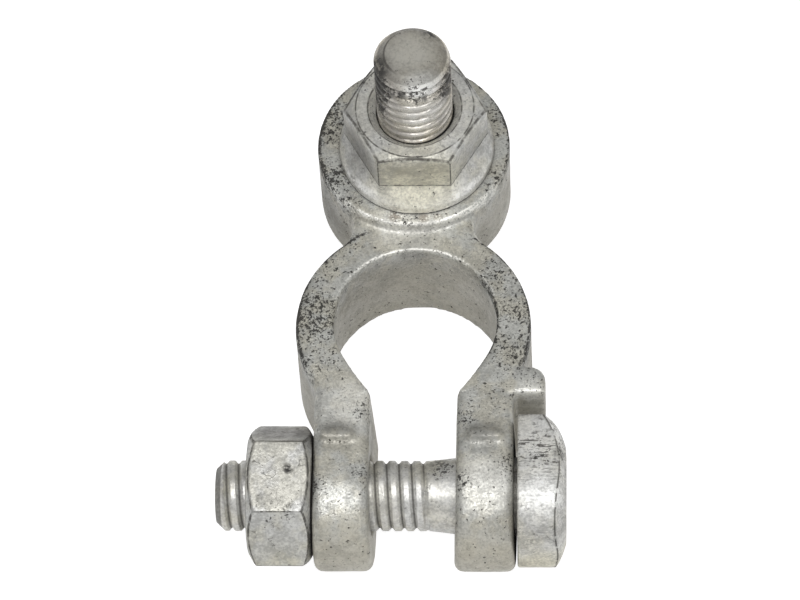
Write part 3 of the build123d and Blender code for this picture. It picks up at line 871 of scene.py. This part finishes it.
def cad_copy(node):
    """A merged copy of a CAD solid's mesh."""
    bm = bmesh.new()
    bm.from_mesh(frame["nodes"][node].data)
    bmesh.ops.remove_doubles(bm, verts=bm.verts, dist=0.001 * MM)
    return bm


def cut(bm, place, normal):
    """Cuts off what lies beyond a plane, and leaves the cut open."""
    bmesh.ops.bisect_plane(
        bm, geom=bm.verts[:] + bm.edges[:] + bm.faces[:], dist=1e-9,
        plane_co=place, plane_no=normal, clear_outer=True,
    )


def close(bm):
    """Closes every opening of a mesh and turns its normals outward."""
    bmesh.ops.holes_fill(bm, edges=[e for e in bm.edges if e.is_boundary], sides=0)
    bmesh.ops.recalc_face_normals(bm, faces=bm.faces)


def cad_end(node, place, inward):
    """A merged copy of one end of a CAD solid, cut off at place and closed."""
    bm = cad_copy(node)
    cut(bm, place, inward)
    close(bm)
    return bm


def even_skin(obj, step, rounds):
    """Gives an object an even skin whose edges and inside corners are rounded off."""
    skin = obj.modifiers.new("skin", "REMESH")
    skin.mode, skin.voxel_size, skin.adaptivity = "VOXEL", step, 0
    soft = obj.modifiers.new("soften", "SMOOTH")
    soft.factor, soft.iterations = 0.5, rounds
    settle(obj)


def make_uneven(obj, depth, wave, seed):
    """Lets a skin sink in by up to depth, in soft waves with finer ones on them, as a casting or a
    forging does."""
    finer, fine_share = 3.1, 0.3
    start = Vector((seed, seed, seed))
    normals = [v.normal.copy() for v in obj.data.vertices]
    for v, n in zip(obj.data.vertices, normals):
        at = v.co / wave + start
        level = noise.noise(at) * (1 - fine_share) + noise.noise(at * finer) * fine_share
        v.co -= n * depth * (0.5 + 0.5 * level)
    obj.data.update()


def join_solid(obj, other):
    """Joins a second closed solid to the first, and removes the second."""
    step = obj.modifiers.new("join", "BOOLEAN")
    step.operation, step.object, step.solver = "UNION", other, "EXACT"
    settle(obj)
    mesh = other.data
    bpy.data.objects.remove(other)
    bpy.data.meshes.remove(mesh)


def threaded_bar(threads, start, end, crest, radius_at):
    """A closed right-handed threaded bar along +Z. radius_at(height, phase) gives its radius, and
    phase is 0 on a crest. crest is the share of a pitch by which the crests stand above z = 0 at +X."""
    bm = bmesh.new()
    row = threads.pitch / threads.rows
    first = start - threads.pitch
    count = math.ceil((end - first) / row) + 1
    any_radius = 3 * MM
    line = [bm.verts.new((any_radius, 0, first + i * row)) for i in range(count + 1)]
    edges = [bm.edges.new(pair) for pair in zip(line, line[1:])]
    bmesh.ops.spin(
        bm, geom=line + edges, cent=(0, 0, 0), axis=(0, 0, 1),
        dvec=(0, 0, threads.pitch / threads.steps), angle=math.tau, steps=threads.steps,
    )
    bmesh.ops.remove_doubles(bm, verts=bm.verts, dist=row * 0.2)
    for v in bm.verts:
        turn = math.atan2(v.co.y, v.co.x) / math.tau
        phase = (v.co.z / threads.pitch - turn - crest) % 1.0
        radius = radius_at(v.co.z, min(phase, 1 - phase))
        v.co.x, v.co.y = radius * math.cos(turn * math.tau), radius * math.sin(turn * math.tau)
    cut(bm, (0, 0, start), (0, 0, -1))
    cut(bm, (0, 0, end), (0, 0, 1))
    close(bm)
    return bm


def smooth(low, high, value):
    """0 below low, 1 above high, and a smooth rise between."""
    share = min(max((value - low) / (high - low), 0.0), 1.0)
    return share * share * (3 - 2 * share)


def valley(phase):
    """0 on a thread's crest and 1 at its root."""
    return smooth(CREST_END, ROOT_START, phase)


def rounded_block(size, place, upright, top):
    """A block with rounded upright edges and a rounded top."""
    bm = bmesh.new()
    bmesh.ops.create_cube(bm, size=1)
    bmesh.ops.scale(bm, vec=size, verts=bm.verts)
    uprights = [e for e in bm.edges if abs(e.verts[0].co.z - e.verts[1].co.z) > size[2] / 2]
    bmesh.ops.bevel(
        bm, geom=uprights, offset=upright, affect="EDGES", segments=8, profile=0.5, material=-1
    )
    top_edges = [e for e in bm.edges if all(v.co.z > size[2] * 0.49 for v in e.verts)]
    bmesh.ops.bevel(bm, geom=top_edges, offset=top, affect="EDGES", segments=4, profile=0.5, material=-1)
    bmesh.ops.translate(bm, vec=place, verts=bm.verts)
    return bm


def add_piece(obj, node):
    """Lets a finished object stand for its CAD node."""
    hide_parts(node)
    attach(obj, node)


# ---------------------------------------------------------------- pieces
class CLAMP_OT_body(bpy.types.Operator):
    """Cast the clamp body with its polarity bars"""

    bl_idname = "clamp.body"
    bl_label = "Clamp body"

    def execute(self, context):
        settings = context.scene.clamp_casting
        bm = cad_copy("clamp_body")
        size = (settings.mark_length, settings.mark_width, BAR_BLOCK_H * MM)
        middle_z = (EAR_TOP - BAR_BLOCK_H / 2) * MM + settings.mark_height
        for x, y in BAR_PLACES:
            place = (x * MM, y * MM, middle_z)
            bar = rounded_block(size, place, settings.mark_width * BAR_END_ROUND, BAR_TOP_ROUND * MM)
            bar_mesh = bpy.data.meshes.new("bar")
            bar.to_mesh(bar_mesh)
            bar.free()
            bm.from_mesh(bar_mesh)
            bpy.data.meshes.remove(bar_mesh)
        body = keep(bm, "cast_body", tinned_casting(settings))
        even_skin(body, settings.skin, settings.soften)
        make_uneven(body, settings.wave, CASTING_WAVE * MM, seed=4.0)
        add_piece(body, "clamp_body")
        return {"FINISHED"}


class CLAMP_OT_bolt(bpy.types.Operator):
    """Make the clamp bolt: head, plain shank and thread"""

    bl_idname = "clamp.bolt"
    bl_label = "Clamp bolt"

    def execute(self, context):
        threads, nuts = context.scene.clamp_threads, context.scene.clamp_nuts

        def radius(height, phase):
            x = height / MM
            depth = threads.bolt_depth / MM * (1 - smooth(*BOLT_FADE, x))
            plain = BOLT_THREAD_R + (BOLT_SHANK_R - BOLT_THREAD_R) * smooth(*BOLT_FLARE, x)
            tip = BOLT_TIP_R + (x - BOLT_TIP_X) * BOLT_TIP_SLOPE
            return min(plain - depth * valley(phase), tip) * MM

        bm = threaded_bar(threads, BOLT_TIP_X * MM, BOLT_SHANK_END_X * MM, BOLT_CREST, radius)
        bmesh.ops.rotate(bm, matrix=BAR_TO_BOLT, verts=bm.verts)
        bmesh.ops.translate(bm, vec=mm(*BOLT_AXIS), verts=bm.verts)
        steel = plated_steel("bolt steel", threads.colour, BOLT_LOOKS)
        shaft = keep(bm, "threaded_bolt", steel)

        head = keep(cad_end("clamp_bolt", mm(BOLT_HEAD_CUT_X, 0, 0), (-1, 0, 0)), "bolt_head", steel)
        even_skin(head, nuts.skin, nuts.soften)
        make_uneven(head, FORGED_DEPTH * MM, FORGED_WAVE * MM, seed=11.0)
        join_solid(shaft, head)
        add_piece(shaft, "clamp_bolt")
        return {"FINISHED"}


class CLAMP_OT_stud(bpy.types.Operator):
    """Make the terminal stud: square head and full thread"""

    bl_idname = "clamp.stud"
    bl_label = "Terminal stud"

    def execute(self, context):
        threads, nuts = context.scene.clamp_threads, context.scene.clamp_nuts

        def radius(height, phase):
            z = height / MM
            up_tip = max(z - STUD_TIP_Z, 0) / (STUD_TOP_Z - STUD_TIP_Z)
            tip = STUD_THREAD_R - STUD_TIP_DROP * up_tip ** STUD_TIP_CURVE
            return min(STUD_THREAD_R - threads.stud_depth / MM * valley(phase), tip) * MM

        bm = threaded_bar(threads, STUD_FOOT_Z * MM, STUD_TOP_Z * MM, STUD_CREST, radius)
        bmesh.ops.translate(bm, vec=mm(STUD_X, STUD_Y, 0), verts=bm.verts)
        steel = plated_steel("stud steel", STUD_STEEL, STUD_LOOKS)
        stud = keep(bm, "threaded_stud", steel)
        head = keep(cad_end("terminal_stud", mm(0, 0, STUD_HEAD_CUT_Z), (0, 0, 1)), "stud_head", steel)
        even_skin(head, 2 * nuts.skin, 2)
        join_solid(stud, head)
        add_piece(stud, "terminal_stud")
        return {"FINISHED"}


class CLAMP_OT_nuts(bpy.types.Operator):
    """Forge the clamp nut and the stud's flange nut"""

    bl_idname = "clamp.nuts"
    bl_label = "Nuts"

    def execute(self, context):
        nuts = context.scene.clamp_nuts
        steel = plated_steel("nut steel", nuts.colour, NUT_LOOKS)
        for node, name, seed in (("clamp_nut", "hexagon_nut", 21.0), ("stud_nut", "flange_nut", 31.0)):
            nut = keep(cad_copy(node), name, steel)
            even_skin(nut, nuts.skin, nuts.soften)
            make_uneven(nut, FORGED_DEPTH * MM, FORGED_WAVE * MM, seed)
            add_piece(nut, node)
        return {"FINISHED"}


# ---------------------------------------------------------------- stage
def add_floor(settings):
    """A round floor whose edge curves up."""
    bm = bmesh.new()
    bmesh.ops.create_circle(bm, cap_ends=True, segments=96, radius=FLOOR_R)
    edges = [e for e in bm.edges if e.is_boundary]
    for slope in COVE_SLOPES:
        made = bmesh.ops.extrude_edge_only(bm, edges=edges)["geom"]
        edges = [g for g in made if isinstance(g, bmesh.types.BMEdge) and g.is_boundary]
        across, up = COVE_STEP * math.cos(math.radians(slope)), COVE_STEP * math.sin(math.radians(slope))
        for v in {v for e in edges for v in e.verts}:
            v.co += v.co.xy.normalized().to_3d() * across + Vector((0, 0, up))
    bmesh.ops.translate(bm, vec=(0, 0, FLOOR_Z), verts=bm.verts)
    bmesh.ops.recalc_face_normals(bm, faces=bm.faces)
    keep(bm, "floor", lit_white_floor(settings))


def add_lamp(scene, name, place, size, level):
    """A round lamp that faces the clamp. level is its brightness, whatever its size."""
    lamp = bpy.data.lights.new(name, "AREA")
    lamp.shape, lamp.size = "DISK", size
    lamp.energy = level * math.pi * math.pi * (size / 2) ** 2
    obj = bpy.data.objects.new(name, lamp)
    obj.location = place
    obj.rotation_mode = "QUATERNION"
    obj.rotation_quaternion = (-Vector(place)).to_track_quat("-Z", "Y")
    scene.collection.objects.link(obj)


def add_camera(scene, settings):
    """The camera, which looks down on the clamp from the front."""
    lens = bpy.data.cameras.new("camera")
    lens.lens, lens.sensor_width, lens.clip_start = settings.lens, 36, 0.01
    lens.shift_x, lens.shift_y = CAMERA_SHIFT
    camera = bpy.data.objects.new("camera", lens)
    look = (TARGET - EYE).to_track_quat("-Z", "Y").to_matrix()
    look = look @ Matrix.Rotation(CAMERA_ROLL, 3, "Z")
    camera.matrix_world = Matrix.Translation(EYE) @ look.to_4x4()
    scene.collection.objects.link(camera)
    scene.camera = camera


class CLAMP_OT_stage(bpy.types.Operator):
    """Set the floor, the lights and the camera"""

    bl_idname = "clamp.stage"
    bl_label = "Stage"

    def execute(self, context):
        scene, settings = context.scene, context.scene.clamp_stage
        scene.view_settings.view_transform = "Standard"
        add_floor(settings)

        world = bpy.data.worlds.new("room")
        scene.world = world
        world.use_nodes = True
        back = world.node_tree.nodes["Background"]
        back.inputs["Color"].default_value = (1, 1, 1, 1)
        back.inputs["Strength"].default_value = settings.fill

        for name, place, size, level in LAMPS:
            add_lamp(scene, name, place, size, getattr(settings, level))
        add_camera(scene, settings)
        return {"FINISHED"}


OPERATORS = (CLAMP_OT_stage, CLAMP_OT_body, CLAMP_OT_bolt, CLAMP_OT_stud, CLAMP_OT_nuts)
GROUPS = {
    "clamp_casting": ClampCasting,
    "clamp_threads": ClampThreads,
    "clamp_nuts": ClampNuts,
    "clamp_stage": ClampStage,
}


class CLAMP_PT_panel(bpy.types.Panel):
    """Lists the clamp's pieces and their settings"""

    bl_label = "Battery terminal clamp"
    bl_idname = "CLAMP_PT_panel"
    bl_space_type = "VIEW_3D"
    bl_region_type = "UI"
    bl_category = "Clamp"

    def draw(self, context):
        for name in GROUPS:
            box = self.layout.box()
            settings = getattr(context.scene, name)
            for key in type(settings).__annotations__:
                box.prop(settings, key)
        for operator in OPERATORS:
            self.layout.operator(operator.bl_idname)


def register():
    for cls in (*GROUPS.values(), *OPERATORS, CLAMP_PT_panel):
        bpy.utils.register_class(cls)
    for name, cls in GROUPS.items():
        setattr(bpy.types.Scene, name, bpy.props.PointerProperty(type=cls))


def unregister():
    for name in GROUPS:
        delattr(bpy.types.Scene, name)
    for cls in (CLAMP_PT_panel, *reversed(OPERATORS), *GROUPS.values()):
        bpy.utils.unregister_class(cls)


def main():
    register()
    bpy.ops.clamp.stage()
    bpy.ops.clamp.body()
    bpy.ops.clamp.bolt()
    bpy.ops.clamp.stud()
    bpy.ops.clamp.nuts()


if __name__ == "__main__":
    main()
